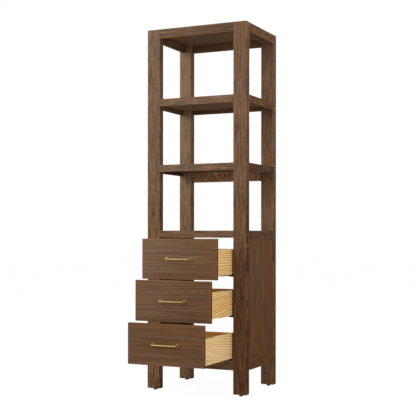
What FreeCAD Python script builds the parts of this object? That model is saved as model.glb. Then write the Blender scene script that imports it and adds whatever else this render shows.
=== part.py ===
"""Tall open storage cabinet with three full-extension drawers, modelled piece by piece.

Millimetres. The origin is on the floor at the centre of the four posts' footprint.
+X is the cabinet's right as seen from the front, +Y the back and +Z up.
"""
import FreeCAD, Part
import os

Vector = FreeCAD.Vector

# Overall plan size
width = 600.0
depth = 442.0

# Corner posts, glides and their threaded inserts
post_width = 76.5
post_depth = 44.0
post_edge_radius = 3.0
post_foot_chamfer = 1.5
foot_stand = 9.0
glide_diameter = 22.0
glide_base_thickness = 4.0
glide_neck_diameter = 14.0
glide_stud_diameter = 8.0
glide_stud_length = 24.0
insert_diameter = 13.0
insert_length = 20.0
insert_slack = 0.1
stud_slack = 0.1
insert_bore_room = 8.0

# Rails and their stub tenons
rail_thickness = 22.0
rail_ease = 1.0
side_setback = 1.0
rear_setback = 3.0
tenon_length = 15.0
tenon_thickness = 8.0
tenon_inset = 6.0
tenon_shoulder = 8.0
joint_slack = 0.15
mortise_end_room = 0.5

# Shelf boards let into rabbets in the rails
board_thickness = 18.0
rabbet_width = 8.0
board_slack = 0.2

# Rise from each upper face to the next one above it
lower_bay_rise = 365.5
middle_bay_rise = 366.5
top_bay_rise = 388.5

# Height of each frame's rails
top_rail_height = 50.0
top_rear_rail_height = 60.0
top_bearer_width = 18.0
top_bearer_drop = 8.5
upper_shelf_rail_height = 40.0
lower_shelf_rail_height = 38.5
lower_shelf_apron_height = 77.0
deck_rail_height = 39.0
deck_side_rail_height = 50.0
base_clearance = 138.0
base_rail_height = 52.0

# Side panels, tongued into the posts and side rails
panel_thickness = 14.0
panel_setback = 2.0
tongue_thickness = 6.0
tongue_setback = 6.0
tongue_length = 6.0
groove_room = 0.5

# Runner rails that carry the slides
runner_height = 50.0
runner_drop = 20.0

# Drawer fronts, inset between the posts
front_height = 216.0
front_thickness = 20.0
front_side_gap = 3.5
front_top_gap = 4.5
front_gap = 3.0
front_bottom_gap = 2.0
front_ease = 1.0

# Drawer boxes
box_clearance = 8.5
box_depth = 372.0
box_height = 136.0
box_board = 13.0
box_joint_depth = 6.0
box_back_inset = 10.0
box_bottom_recess = 12.0
box_bottom_thickness = 5.0
box_raise = 22.0
bottom_box_raise = 10.5
box_rim_ease = 1.5

# Concealed slides, one pair under each box
slide_gauge = 1.5
slide_drop = 11.5
slide_flange_height = 33.0
slide_platform_drop = 9.0
slide_guide_width = 34.0
slide_guide_height = 5.0
slide_side_room = 10.0
slide_running_gap = 0.3
slide_middle_rise = 7.0
slide_end_room = 1.0
slide_front_room = 2.0

# How far each drawer stands open as stored, the lowest at its stop
slide_travel = 357.0
top_opening = 204.0
middle_opening = 278.0
bottom_opening = slide_travel

# Bar pulls
pull_centres = 142.0
pull_bar_diameter = 6.0
pull_reach = 27.0
pull_corner_radius = 8.0
pull_bend_steps = 3
pull_rose_diameter = 18.0
pull_rose_thickness = 3.5
pull_rose_chamfer = 1.2

# Cutters run past what they cut by this much
overrun = 5.0

# The drawers from the lowest up: name, opening, and rise of the box above the front's foot
drawer_rows = [
    ("bottom", bottom_opening, bottom_box_raise),
    ("middle", middle_opening, box_raise),
    ("top", top_opening, box_raise),
]

# Places worked out from the sizes above
half_width = width / 2
half_depth = depth / 2
post_inner_x = half_width - post_width
post_inner_y = half_depth - post_depth
side_face_x = half_width - side_setback
rear_face_y = half_depth - rear_setback
base_top = base_clearance + base_rail_height
front_pitch = front_height + front_gap
case_top = base_top + front_bottom_gap + len(drawer_rows) * front_pitch - front_gap + front_top_gap
deck_level = case_top + deck_rail_height
lower_shelf_level = deck_level + lower_bay_rise
upper_shelf_level = lower_shelf_level + middle_bay_rise
height = upper_shelf_level + top_bay_rise
front_half_width = post_inner_x - front_side_gap
box_half_width = post_inner_x - box_clearance
box_inner_x = box_half_width - box_board
slide_length = box_depth - box_board - 2 * slide_end_room
guide_outer_x = box_inner_x - slide_side_room


def block(x0, x1, y0, y1, z0, z1):
    """A rectangular solid between opposite corners."""
    return Part.makeBox(x1 - x0, y1 - y0, z1 - z0, Vector(x0, y0, z0))


def prism(points, direction):
    """A closed outline swept straight along a direction."""
    wire = Part.makePolygon(points + points[:1])
    return Part.Face(wire).extrude(direction)


def mirrored(shape):
    """The same piece on the other side of the cabinet."""
    return shape.mirror(Vector(0, 0, 0), Vector(1, 0, 0))


def pair(shape):
    """A right-hand piece and its left-hand twin as two solids."""
    return Part.makeCompound([shape, mirrored(shape)])


def joined(shapes):
    """Several overlapping forms made one solid."""
    first, rest = shapes[0], shapes[1:]
    return first.multiFuse(rest).removeSplitter()


def long_edges(shape, direction, wanted):
    """Edges parallel to a direction whose middle passes a test."""
    found = []
    for edge in shape.Edges:
        if len(edge.Vertexes) != 2:
            continue
        run = edge.Vertexes[1].Point - edge.Vertexes[0].Point
        if run.cross(direction).Length < joint_slack and wanted(edge.CenterOfMass):
            found.append(edge)
    return found


def rail_outline(tall, rabbet):
    """A rail's section as (in from its outer face, up from its underside)."""
    points = [
        (rail_ease, 0),
        (rail_thickness, 0),
        (rail_thickness, tall - rabbet),
    ]
    if rabbet:
        points += [
            (rail_thickness - rabbet_width, tall - rabbet),
            (rail_thickness - rabbet_width, tall),
        ]
    return points + [(rail_ease, tall), (0, tall - rail_ease), (0, rail_ease)]


def tenon_range(base, tall):
    """Lowest and highest level of the tenons of a rail."""
    return base + tenon_shoulder, base + tall - tenon_shoulder


def cross_rail(outer_y, inwards, base, tall, rabbet):
    """A rail from post to post across the width, with its two tenons."""
    outline = [
        Vector(-post_inner_x, outer_y + inwards * run, base + up)
        for run, up in rail_outline(tall, rabbet)
    ]
    body = prism(outline, Vector(2 * post_inner_x, 0, 0))
    near = outer_y + inwards * tenon_inset
    far = near + inwards * tenon_thickness
    low, high = tenon_range(base, tall)
    reach = post_inner_x + tenon_length
    tenons = block(-reach, reach, min(near, far), max(near, far), low, high)
    return joined([body, tenons])


def side_rail(outer_x, inwards, base, tall, rabbet):
    """A right-hand rail from front post to rear post, with its two tenons."""
    outline = [
        Vector(outer_x + inwards * run, -post_inner_y, base + up)
        for run, up in rail_outline(tall, rabbet)
    ]
    body = prism(outline, Vector(0, 2 * post_inner_y, 0))
    near = outer_x + inwards * tenon_inset
    far = near + inwards * tenon_thickness
    low, high = tenon_range(base, tall)
    reach = post_inner_y + tenon_length
    tenons = block(min(near, far), max(near, far), -reach, reach, low, high)
    return joined([body, tenons])


def cross_mortises(outer_y, inwards, base, tall):
    """One slot across the width that cuts the mortises for a cross rail."""
    near = outer_y + inwards * tenon_inset
    far = near + inwards * tenon_thickness
    low, high = tenon_range(base, tall)
    reach = post_inner_x + tenon_length + mortise_end_room
    return block(
        -reach, reach,
        min(near, far) - joint_slack, max(near, far) + joint_slack,
        low - joint_slack, high + joint_slack,
    )


def side_mortises(outer_x, inwards, base, tall):
    """Slots along the depth that cut the mortises for a pair of side rails."""
    near = outer_x + inwards * tenon_inset
    far = near + inwards * tenon_thickness
    low, high = tenon_range(base, tall)
    reach = post_inner_y + tenon_length + mortise_end_room
    slot = block(
        min(near, far) - joint_slack, max(near, far) + joint_slack,
        -reach, reach,
        low - joint_slack, high + joint_slack,
    )
    return [slot, mirrored(slot)]


def shelf_board(level):
    """A board that lies in the rabbets of its four rails, notched round the posts."""
    inset = rail_thickness - rabbet_width + board_slack
    board = block(
        -side_face_x + inset, side_face_x - inset,
        -half_depth + inset, rear_face_y - inset,
        level - board_thickness, level,
    )
    for x_side in (-1, 1):
        for y_side in (-1, 1):
            x_near = x_side * (post_inner_x - board_slack)
            x_far = x_side * (half_width + overrun)
            y_near = y_side * (post_inner_y - board_slack)
            y_far = y_side * (half_depth + overrun)
            notch = block(
                min(x_near, x_far), max(x_near, x_far),
                min(y_near, y_far), max(y_near, y_far),
                level - board_thickness - overrun, level + overrun,
            )
            board = board.cut(notch)
    return board


# Each frame: name, upper level, front, rear and side rail heights
frames = [
    ("top", height, top_rail_height, top_rear_rail_height, top_rail_height),
    (
        "upper_shelf", upper_shelf_level,
        upper_shelf_rail_height, upper_shelf_rail_height, upper_shelf_rail_height,
    ),
    (
        "lower_shelf", lower_shelf_level,
        lower_shelf_rail_height, lower_shelf_apron_height, lower_shelf_rail_height,
    ),
    (
        "deck", deck_level,
        deck_rail_height, deck_rail_height, deck_side_rail_height,
    ),
]


def panel_tongue(room):
    """The tongued edge of a right-hand side panel, grown by a little room for its grooves."""
    outer = side_face_x - tongue_setback + room
    inner = side_face_x - tongue_setback - tongue_thickness - room
    reach = tongue_length + (groove_room if room else 0)
    top = deck_level - deck_side_rail_height
    return block(
        inner, outer,
        -post_inner_y - reach, post_inner_y + reach,
        base_top - reach, top + reach,
    )


def side_panel():
    """A right-hand side panel with a thinner tongue all round."""
    outer = side_face_x - panel_setback
    top = deck_level - deck_side_rail_height
    field = block(
        outer - panel_thickness, outer,
        -post_inner_y, post_inner_y,
        base_top, top,
    )
    return joined([field, panel_tongue(0)])


def top_bearer():
    """The right-hand strip inside a top side rail that carries the top board's end."""
    outer = side_face_x - rail_thickness
    return block(
        outer - top_bearer_width, outer,
        -post_inner_y, post_inner_y,
        height - top_rail_height - top_bearer_drop, height - board_thickness,
    )


def frame_pieces():
    """Rails and boards of the four frames, and the slots that their tenons need."""
    pieces, slots = {}, []
    for name, level, front_tall, rear_tall, side_tall in frames:
        front = cross_rail(-half_depth, 1, level - front_tall, front_tall, board_thickness)
        rear = cross_rail(rear_face_y, -1, level - rear_tall, rear_tall, board_thickness)
        side = side_rail(side_face_x, -1, level - side_tall, side_tall, board_thickness)
        if name == "top":
            side = joined([side, top_bearer()])
        if name == "deck":
            side = side.cut(panel_tongue(joint_slack))
        pieces[name + "_panel"] = shelf_board(level)
        pieces[name + "_front_rail"] = front
        pieces[name + "_rear_rail"] = rear
        pieces[name + "_side_rails"] = pair(side)
        slots.append(cross_mortises(-half_depth, 1, level - front_tall, front_tall))
        slots.append(cross_mortises(rear_face_y, -1, level - rear_tall, rear_tall))
        slots += side_mortises(side_face_x, -1, level - side_tall, side_tall)
    return pieces, slots


def base_pieces():
    """The rails under the drawers, and the slots that their tenons need."""
    base, tall = base_clearance, base_rail_height
    side = side_rail(side_face_x, -1, base, tall, 0).cut(panel_tongue(joint_slack))
    pieces = {
        "base_front_rail": cross_rail(-half_depth, 1, base, tall, 0),
        "base_rear_rail": cross_rail(rear_face_y, -1, base, tall, 0),
        "base_side_rails": pair(side),
    }
    slots = [
        cross_mortises(-half_depth, 1, base, tall),
        cross_mortises(rear_face_y, -1, base, tall),
    ]
    slots += side_mortises(side_face_x, -1, base, tall)
    return pieces, slots


def runner_pieces(drawers):
    """A pair of runner rails for each drawer, flush with the posts' inner faces."""
    pieces, slots = {}, []
    for drawer in drawers:
        base = drawer["box_base"] - runner_drop
        rail = side_rail(post_inner_x, 1, base, runner_height, 0)
        pieces["runner_rails_" + drawer["name"]] = pair(rail)
        slots += side_mortises(post_inner_x, 1, base, runner_height)
    return pieces, slots


def insert_centre(x_side, y_side):
    """The axis of a glide: the middle of a post's end."""
    x = x_side * (half_width - post_width / 2)
    y = y_side * (half_depth - post_depth / 2)
    return x, y


def post(x_side, y_side, slots):
    """One corner post with its mortises, panel groove and insert bore."""
    x_near, x_far = x_side * post_inner_x, x_side * half_width
    y_near, y_far = y_side * post_inner_y, y_side * half_depth
    blank = block(
        min(x_near, x_far), max(x_near, x_far),
        min(y_near, y_far), max(y_near, y_far),
        foot_stand, height,
    )
    blank = blank.makeFillet(
        post_edge_radius, long_edges(blank, Vector(0, 0, 1), lambda place: True)
    )
    under = [edge for edge in blank.Edges if edge.BoundBox.ZMax < foot_stand + joint_slack]
    blank = blank.makeChamfer(post_foot_chamfer, under)
    x, y = insert_centre(x_side, y_side)
    bore = Part.makeCylinder(
        insert_diameter / 2 + insert_slack,
        insert_length + insert_bore_room + overrun,
        Vector(x, y, foot_stand - overrun),
    )
    return blank.cut(Part.makeCompound(slots + [bore]))


def turned(outline, x, y, z):
    """A solid of revolution about an upright axis, from (radius, height) points."""
    points = [Vector(x + radius, y, z + up) for radius, up in outline]
    face = Part.Face(Part.makePolygon(points + points[:1]))
    return face.revolve(Vector(x, y, z), Vector(0, 0, 1), 360)


def glide(x, y):
    """A levelling glide: moulded foot and steel stud in one turned form."""
    base = glide_diameter / 2
    neck = glide_neck_diameter / 2
    stud = glide_stud_diameter / 2
    stud_top = foot_stand + glide_stud_length
    outline = [
        (0, 0),
        (base, 0),
        (base, glide_base_thickness),
        (neck, foot_stand - joint_slack),
        (stud, foot_stand - joint_slack),
        (stud, stud_top),
        (0, stud_top),
    ]
    return turned(outline, x, y, 0)


def insert(x, y):
    """A steel bush set flush in the end of a post."""
    outer = Part.makeCylinder(insert_diameter / 2, insert_length, Vector(x, y, foot_stand))
    inner = Part.makeCylinder(
        glide_stud_diameter / 2 + stud_slack,
        insert_length + 2 * overrun,
        Vector(x, y, foot_stand - overrun),
    )
    return outer.cut(inner)


def foot_pieces():
    """Four glides and four inserts, each kind grouped."""
    places = [insert_centre(x, y) for x in (-1, 1) for y in (-1, 1)]
    return {
        "levelling_glides": Part.makeCompound([glide(x, y) for x, y in places]),
        "glide_inserts": Part.makeCompound([insert(x, y) for x, y in places]),
    }


def drawer_front(drawer):
    """A flat slab front with eased face edges."""
    y = drawer["face_y"]
    slab = block(
        -front_half_width, front_half_width,
        y, y + front_thickness,
        drawer["front_base"], drawer["front_base"] + front_height,
    )
    face = [edge for edge in slab.Edges if edge.BoundBox.YMax < y + joint_slack]
    return slab.makeChamfer(front_ease, face)


def box_side(drawer):
    """The right side of a box: grooved for the bottom, rabbeted and dadoed for its ends."""
    y, base = drawer["box_y"], drawer["box_base"]
    board = block(box_inner_x, box_half_width, y, y + box_depth, base, base + box_height)
    rim = long_edges(
        board, Vector(0, 1, 0), lambda place: place.z > base + box_height - joint_slack
    )
    board = board.makeFillet(box_rim_ease, rim)
    seat = box_inner_x + box_joint_depth
    low, high = base - overrun, base + box_height + overrun
    rabbet = block(box_inner_x - overrun, seat, y - overrun, y + box_board, low, high)
    back = drawer["back_y"]
    dado = block(
        box_inner_x - overrun, seat, back, back + box_board,
        base + box_bottom_recess, high,
    )
    groove = block(
        box_inner_x - overrun, seat, y - overrun, y + box_depth + overrun,
        base + box_bottom_recess, base + box_bottom_recess + box_bottom_thickness,
    )
    return board.cut(Part.makeCompound([rabbet, dado, groove]))


def box_end_half_width():
    """Half the length of the boards that seat in the box sides."""
    return box_inner_x + box_joint_depth - joint_slack


def box_front(drawer):
    """The board behind the drawer front, grooved for the bottom."""
    y, base = drawer["box_y"], drawer["box_base"]
    reach = box_end_half_width()
    board = block(-reach, reach, y, y + box_board, base, base + box_height)
    groove = block(
        -reach - overrun, reach + overrun,
        y + box_board - box_joint_depth, y + box_board + overrun,
        base + box_bottom_recess, base + box_bottom_recess + box_bottom_thickness,
    )
    return board.cut(groove)


def box_back(drawer):
    """The rear board, which stands on the bottom."""
    y, base = drawer["back_y"], drawer["box_base"]
    reach = box_end_half_width()
    foot = base + box_bottom_recess + box_bottom_thickness
    return block(
        -reach, reach, y + joint_slack, y + box_board - joint_slack,
        foot, base + box_height,
    )


def box_bottom(drawer):
    """The thin bottom, slid in from the rear under the back board."""
    y = drawer["box_y"]
    base = drawer["box_base"] + box_bottom_recess
    reach = box_end_half_width()
    return block(
        -reach, reach,
        y + box_board - box_joint_depth + joint_slack, y + box_depth,
        base, base + box_bottom_thickness,
    )


def bar_pull(drawer):
    """A round bar bent into a wide U, each leg standing on a small rose."""
    y, z = drawer["face_y"], drawer["front_base"] + front_height / 2
    half = pull_centres / 2
    radius = pull_bar_diameter / 2
    bend = pull_corner_radius
    turn_x, turn_y = half - bend, y - pull_reach + bend
    grip = Part.makeCylinder(
        radius, 2 * turn_x, Vector(-turn_x, y - pull_reach, z), Vector(1, 0, 0)
    )
    leg = Part.makeCylinder(radius, y - turn_y, Vector(half, turn_y, z), Vector(0, 1, 0))
    right = [leg, pull_corner(turn_x, turn_y, z), rose_form(half, y, z)]
    left = [mirrored(form) for form in right]
    return joined([grip] + right + left)


def pull_corner(turn_x, turn_y, z):
    """The quarter turn from a leg to the grip, in short straight steps."""
    rings = []
    for step in range(pull_bend_steps + 1):
        turn = FreeCAD.Rotation(Vector(0, 0, -1), 90 * step / pull_bend_steps)
        outwards = turn.multVec(Vector(pull_corner_radius, 0, 0))
        along = turn.multVec(Vector(0, -1, 0))
        centre = Vector(turn_x, turn_y, z) + outwards
        rings.append(Part.Wire(Part.makeCircle(pull_bar_diameter / 2, centre, along)))
    return Part.makeLoft(rings, True, True)


def rose_form(x, y, z):
    """A low disc with a chamfered rim that a leg of the pull stands on."""
    rim = pull_rose_diameter / 2
    outline = [
        (0, 0),
        (rim, 0),
        (rim, pull_rose_thickness - pull_rose_chamfer),
        (rim - pull_rose_chamfer, pull_rose_thickness),
        (0, pull_rose_thickness),
    ]
    points = [Vector(x + radius, y - out, z) for radius, out in outline]
    face = Part.Face(Part.makePolygon(points + points[:1]))
    return face.revolve(Vector(x, y, z), Vector(0, 1, 0), 360)


def section_sweep(outline, y, base, length=slide_length):
    """A sheet section of (x, height) points swept along a slide."""
    points = [Vector(x, y, base + up) for x, up in outline]
    return prism(points, Vector(0, length, 0))


def cabinet_member(drawer):
    """The fixed part of a right-hand slide: wall flange, base, raised platform and guides."""
    base = drawer["box_base"]
    y = -half_depth + front_thickness + slide_front_room
    length = closed_slide_y() + slide_length - y
    gauge = slide_gauge
    low = -slide_drop
    platform = -slide_platform_drop
    inner = guide_outer_x - slide_guide_width - 2 * gauge
    guide = platform + slide_guide_height
    outline = [
        (inner, platform),
        (guide_outer_x - gauge, platform),
        (guide_outer_x - gauge, low),
        (post_inner_x, low),
        (post_inner_x, low + slide_flange_height),
        (post_inner_x - gauge, low + slide_flange_height),
        (post_inner_x - gauge, low + gauge),
        (guide_outer_x, low + gauge),
        (guide_outer_x, guide),
        (guide_outer_x - gauge, guide),
        (guide_outer_x - gauge, platform + gauge),
        (inner + gauge, platform + gauge),
        (inner + gauge, guide),
        (inner, guide),
    ]
    return section_sweep(outline, y, base, length)


def closed_slide_y():
    """Where the travelling slide members start when their drawer is shut."""
    return -half_depth + front_thickness + box_board + slide_end_room


def middle_member(drawer):
    """The travelling channel of a right-hand slide, half as far out as its drawer."""
    base = drawer["box_base"]
    y = closed_slide_y() - drawer["opening"] / 2
    gauge, gap = slide_gauge, slide_running_gap
    right = guide_outer_x - gauge - gap
    left = guide_outer_x - gauge - slide_guide_width + gap
    low = -slide_platform_drop + gauge + gap
    outline = [
        (left, low),
        (right, low),
        (right, slide_middle_rise),
        (right - gauge, slide_middle_rise),
        (right - gauge, low + gauge),
        (left + gauge, low + gauge),
        (left + gauge, slide_middle_rise),
        (left, slide_middle_rise),
    ]
    return section_sweep(outline, y, base)


def drawer_member(drawer):
    """The inverted channel of a right-hand slide, fixed under the drawer's bottom."""
    base = drawer["box_base"]
    y = closed_slide_y() - drawer["opening"]
    gauge, gap = slide_gauge, slide_running_gap
    right = guide_outer_x - 2 * gauge - 2 * gap
    left = guide_outer_x - slide_guide_width + 2 * gap
    low = -slide_platform_drop + 2 * gauge + 2 * gap
    high = box_bottom_recess
    outline = [
        (left, low),
        (left + gauge, low),
        (left + gauge, high - gauge),
        (right - gauge, high - gauge),
        (right - gauge, low),
        (right, low),
        (right, high),
        (left, high),
    ]
    return section_sweep(outline, y, base)


def drawer_places():
    """Where the three drawers stand, from the lowest up."""
    drawers = []
    for step, (name, opening, raised) in enumerate(drawer_rows):
        front_base = base_top + front_bottom_gap + step * front_pitch
        face_y = -half_depth - opening
        box_y = face_y + front_thickness
        drawers.append({
            "name": name,
            "opening": opening,
            "front_base": front_base,
            "box_base": front_base + raised,
            "face_y": face_y,
            "box_y": box_y,
            "back_y": box_y + box_depth - box_back_inset - box_board,
        })
    return drawers


def drawer_pieces(drawer):
    """All the pieces of one drawer and its slides, by name."""
    name = drawer["name"]
    side = box_side(drawer)
    return {
        "drawer_front_" + name: drawer_front(drawer),
        "box_front_" + name: box_front(drawer),
        "box_side_right_" + name: side,
        "box_side_left_" + name: mirrored(side),
        "box_back_" + name: box_back(drawer),
        "box_bottom_" + name: box_bottom(drawer),
        "bar_pull_" + name: bar_pull(drawer),
        "slide_drawer_members_" + name: pair(drawer_member(drawer)),
        "slide_middle_members_" + name: pair(middle_member(drawer)),
        "slide_cabinet_members_" + name: pair(cabinet_member(drawer)),
    }


def post_pieces(slots):
    """The four corner posts, by name."""
    pieces = {}
    for y_name, y_side in (("front", -1), ("rear", 1)):
        for x_name, x_side in (("left", -1), ("right", 1)):
            pieces["post_" + y_name + "_" + x_name] = post(x_side, y_side, slots)
    return pieces


def all_pieces():
    """Every piece of the cabinet, by node name."""
    drawers = drawer_places()
    pieces, slots = frame_pieces()
    for more, cuts in (base_pieces(), runner_pieces(drawers)):
        pieces.update(more)
        slots += cuts
    tongue = panel_tongue(joint_slack)
    slots += [tongue, mirrored(tongue)]
    pieces.update(post_pieces(slots))
    pieces["side_panel_right"] = side_panel()
    pieces["side_panel_left"] = mirrored(side_panel())
    pieces.update(foot_pieces())
    for drawer in drawers:
        pieces.update(drawer_pieces(drawer))
    return pieces


os.makedirs("parts", exist_ok=True)
for node, shape in all_pieces().items():
    shape.exportStep("parts/" + node + ".step")
    print(node, len(shape.Solids), round(shape.Volume), shape.isValid())
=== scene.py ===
"""Looks for a tall open storage cabinet with three drawers, built round its fixed frame.

Metres. +X is the cabinet's right as seen from the front, +Y its back and +Z up.
"""

import logging
import math
from dataclasses import dataclass, replace
from enum import Enum
from typing import Callable, Iterable, Sequence

import bmesh
import bpy
from bpy.types import Material, Node, NodeSocket as Socket, Object as Piece
from mathutils import Euler, Matrix, Vector

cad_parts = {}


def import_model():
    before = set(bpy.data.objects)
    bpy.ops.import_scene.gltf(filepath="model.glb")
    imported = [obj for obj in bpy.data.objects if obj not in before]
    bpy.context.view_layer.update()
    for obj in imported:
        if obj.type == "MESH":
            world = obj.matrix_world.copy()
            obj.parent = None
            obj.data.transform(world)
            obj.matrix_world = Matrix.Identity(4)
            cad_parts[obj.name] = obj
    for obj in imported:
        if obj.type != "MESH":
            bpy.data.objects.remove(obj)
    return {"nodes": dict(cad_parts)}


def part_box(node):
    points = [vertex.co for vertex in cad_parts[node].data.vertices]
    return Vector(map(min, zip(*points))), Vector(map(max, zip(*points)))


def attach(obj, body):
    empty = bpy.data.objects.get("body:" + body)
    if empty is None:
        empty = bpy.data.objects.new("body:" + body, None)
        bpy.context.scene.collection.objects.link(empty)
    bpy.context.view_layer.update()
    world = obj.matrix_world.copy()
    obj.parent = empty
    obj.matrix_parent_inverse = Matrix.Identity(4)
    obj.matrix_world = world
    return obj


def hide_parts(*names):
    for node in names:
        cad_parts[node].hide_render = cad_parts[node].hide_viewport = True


LOG = logging.getLogger("cabinet")

Colour = tuple[float, float, float]
Point = tuple[float, float, float]
Ends = tuple[float, float]
Nodes = dict[str, Piece]
Places = Iterable[tuple[str, Matrix]]
Test = Callable[[object], bool]

DRAWERS = ("bottom", "middle", "top")
SIDES = ((-1, "left"), (1, "right"))
HANDS = tuple((title, Matrix.Scale(side, 4, (1, 0, 0))) for side, title in SIDES)
WHITE = (1.0, 1.0, 1.0)
QUARTER = math.pi / 2
NEAR = 1e-5


def srgb(*levels: int) -> Colour:
    """A screen colour as the linear one that shaders take.

    Args:
        levels: Red, green and blue from 0 to 255.

    Returns:
        The three linear values.
    """
    shares = (level / 255 for level in levels)
    return tuple(s / 12.92 if s <= 0.04045 else ((s + 0.055) / 1.055) ** 2.4 for s in shares)


class Grain(Enum):
    """Which way a board's fibres run, as the turn that lays them along a pattern's X."""

    ACROSS = (0.0, 0.0, 0.0)
    DEEP = (0.0, 0.0, -QUARTER)
    UPRIGHT = (0.0, QUARTER, 0.0)


@dataclass(frozen=True)
class Knot:
    """A knot in a board, placed from the board's centre in its pattern's directions."""

    along: float
    across: float
    through: float
    radius: float
    pull: float
    oval: Point = (0.55, 1.0, 1.0)
    reach: float = 5.0
    core: float = 0.35
    darkness: float = 0.8


@dataclass(frozen=True)
class Cut:
    """How a board was cut from its log, and how its colour runs from end to end.

    The pairs hold the values at the low and the high end. The grey share at each end is a
    painted sheen. The side tone, added on the faces across x, is painted shade, with painted
    light at some ends. On some boards the tone run paints light and shade too.
    """

    pith: Ends = (0.05, 0.16)
    taper: float = 0.012
    knots: tuple[Knot, ...] = ()
    tone: Ends = (0.0, 0.0)
    # Painted sheen: the share of pale grey at each end.
    fade: Ends = (0.04, 0.04)
    figure: float = 1.0
    # Painted shade added on the faces across x, at each end.
    painted_side_shading: Ends = (0.0, 0.0)


class Graph:
    """A material or group tree being wired, with short calls for its usual nodes."""

    def __init__(self, tree: bpy.types.NodeTree) -> None:
        """Takes an empty tree."""
        self.tree = tree

    def node(self, kind: str, *values: object, **settings: object) -> Node:
        """Adds a node, sets its plain properties and feeds its inputs in their order.

        Args:
            kind: The node's type name.
            values: Sockets or numbers for its first inputs.
            settings: Properties by name.

        Returns:
            The new node.
        """
        made = self.tree.nodes.new(kind)
        for name, value in settings.items():
            setattr(made, name, value)
        for socket, value in zip(made.inputs, values):
            self.feed(socket, value)
        return made

    def feed(self, socket: Socket, value: object) -> None:
        """Links a socket to another one, or sets its value.

        Args:
            socket: The socket that is fed.
            value: Another socket, a number, a triple or a colour.
        """
        if isinstance(value, Socket):
            self.tree.links.new(value, socket)
        elif isinstance(value, tuple) and len(value) == 3 and socket.type == "RGBA":
            socket.default_value = (*value, 1)
        else:
            socket.default_value = value

    def supply(self, node: Node, values: dict[str, object]) -> None:
        """Feeds a node's inputs by their names."""
        for name, value in values.items():
            self.feed(node.inputs[name], value)

    def coordinate(self) -> Socket:
        """A point's place in its object."""
        return self.node("ShaderNodeTexCoord").outputs["Object"]

    def split(self, value: Socket) -> tuple[Socket, ...]:
        """A vector's x, y and z."""
        return tuple(self.node("ShaderNodeSeparateXYZ", value).outputs)

    def math(self, work: str, *values: object, clamp: bool = False) -> Socket:
        """A scalar sum, product or other operation.

        Args:
            work: The operation's name.
            values: Its inputs, sockets or numbers.
            clamp: Whether the result is kept between 0 and 1.

        Returns:
            The result's socket.
        """
        return self.node("ShaderNodeMath", *values, operation=work, use_clamp=clamp).outputs[0]

    def vector(self, work: str, *values: object) -> Socket:
        """A vector operation.

        Args:
            work: The operation's name.
            values: Its inputs, sockets or triples.

        Returns:
            The result's socket, a value for a length and else a vector.
        """
        made = self.node("ShaderNodeVectorMath", *values, operation=work)
        return made.outputs["Value" if work == "LENGTH" else "Vector"]

    def noise(self, place: Socket, stretch: Point, detail: float, rough: float = 0.6) -> Socket:
        """Smooth noise with features of about a unit over the stretch.

        Args:
            place: Where it is read.
            stretch: Cycles per metre along each direction.
            detail: Octaves.
            rough: Weight of the finer octaves.

        Returns:
            The noise, about 0.5.
        """
        made = self.node("ShaderNodeTexNoise")
        spot = self.vector("MULTIPLY", place, stretch)
        self.supply(made, {"Vector": spot, "Scale": 1, "Detail": detail, "Roughness": rough})
        return made.outputs["Fac"]

    def sway(self, noise: Socket, weight: float, base: object) -> Socket:
        """A value moved by noise that swings about 0.5.

        Args:
            noise: The noise.
            weight: How far a full swing moves the value.
            base: What is moved.

        Returns:
            The moved value.
        """
        return self.math("MULTIPLY_ADD", self.math("SUBTRACT", noise, 0.5), weight, base)

    def spread(
        self, value: object, low: float, high: float, to_low: float = 0, to_high: float = 1
    ) -> Socket:
        """A smooth step of a value from one range to another.

        Args:
            value: What is mapped.
            low: Start of its range.
            high: End of its range.
            to_low: Result at the start.
            to_high: Result at the end.

        Returns:
            The mapped socket.
        """
        ends = (low, high, to_low, to_high)
        made = self.node("ShaderNodeMapRange", value, *ends, interpolation_type="SMOOTHSTEP")
        return made.outputs["Result"]

    def ramp(self, factor: object, stops: Iterable[tuple[float, Colour]]) -> Socket:
        """A run of three colours.

        Args:
            factor: Place along the run.
            stops: The places and colours of the first, the middle and the last.

        Returns:
            The colour's socket.
        """
        made = self.node("ShaderNodeValToRGB", factor)
        band = made.color_ramp.elements
        band.new(1)
        for element, (place, colour) in zip(band, stops):
            element.position = place
            element.color = (*colour, 1)
        return made.outputs["Color"]

    def mix(self, factor: object, first: object, second: object) -> Socket:
        """Two colours mixed.

        Args:
            factor: Share of the second.
            first: The first colour.
            second: The second colour.

        Returns:
            The colour's socket.
        """
        made = self.node("ShaderNodeMix", data_type="RGBA")
        for number, value in ((0, factor), (6, first), (7, second)):
            self.feed(made.inputs[number], value)
        return made.outputs[2]

    def blend(self, *values: Socket) -> Socket:
        """The first and the second shader mixed by the share of the second, given first."""
        return self.node("ShaderNodeMixShader", *values).outputs[0]

    def seen(self) -> Socket:
        """One on the rays that show the ground: straight, mirrored or let through.

        Returns:
            The share's socket.
        """
        path = self.node("ShaderNodeLightPath").outputs
        straight = self.math("MAXIMUM", path["Is Camera Ray"], path["Is Glossy Ray"])
        return self.math("MAXIMUM", straight, path["Is Transmission Ray"])

    def bump(self, shader: Node, height: Socket, strength: float, depth: float) -> None:
        """Raises a shader's surface.

        Args:
            shader: The shader.
            height: The height, from 0 to 1.
            strength: Share of the effect.
            depth: The full height in metres.
        """
        made = self.node("ShaderNodeBump")
        self.supply(made, {"Height": height, "Strength": strength, "Distance": depth})
        self.feed(shader.inputs["Normal"], made.outputs["Normal"])


def new_material(name: str) -> tuple[Material, Graph, Node]:
    """An empty material with its main shader.

    Args:
        name: The material's name.

    Returns:
        The material, its graph and its shader node.
    """
    made = bpy.data.materials.new(name)
    made.use_nodes = True
    made.node_tree.nodes.clear()
    graph = Graph(made.node_tree)
    shader = graph.node("ShaderNodeBsdfPrincipled")
    graph.node("ShaderNodeOutputMaterial", shader.outputs["BSDF"])
    return made, graph, shader


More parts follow.
